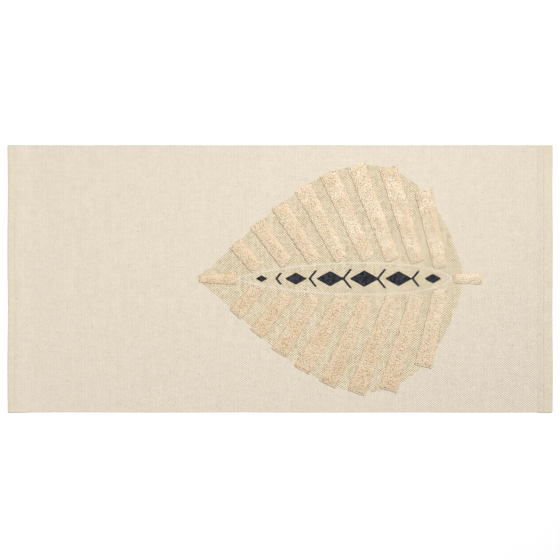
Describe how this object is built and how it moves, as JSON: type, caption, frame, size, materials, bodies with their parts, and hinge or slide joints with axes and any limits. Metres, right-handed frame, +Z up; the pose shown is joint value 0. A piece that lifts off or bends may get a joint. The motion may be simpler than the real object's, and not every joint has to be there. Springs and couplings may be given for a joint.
{
  "type": "cotton nursery rug",
  "caption": "Flat rectangular woven cotton rug with hemmed short ends and low tufted pile bars that make a plain leaf.",
  "frame": {"origin": "middle of the underside, on the floor", "axes": "+X along the rug towards the leaf's stalk, +Y across the rug, +Z up from the floor"},
  "size_m": [1.401, 0.6872, 0.0102],
  "materials": {
    "canvas": "coarse matt plain weave in natural cotton, with a sage and a navy print",
    "pile": "short curly looped and cut cotton yarn, matt"
  },
  "bodies": {
    "root": {"ground_cloth": "canvas", "pile_left_1": "pile", "pile_right_1": "pile", "pile_left_2": "pile", "pile_right_2": "pile", "pile_left_3": "pile", "pile_right_3": "pile", "pile_left_4": "pile", "pile_right_4": "pile", "pile_left_5": "pile", "pile_right_5": "pile", "pile_left_6": "pile", "pile_right_6": "pile", "pile_left_7": "pile", "pile_right_7": "pile", "pile_left_8": "pile", "pile_right_8": "pile", "pile_tip": "pile", "pile_stalk": "pile"}
  },
  "joints": []
}
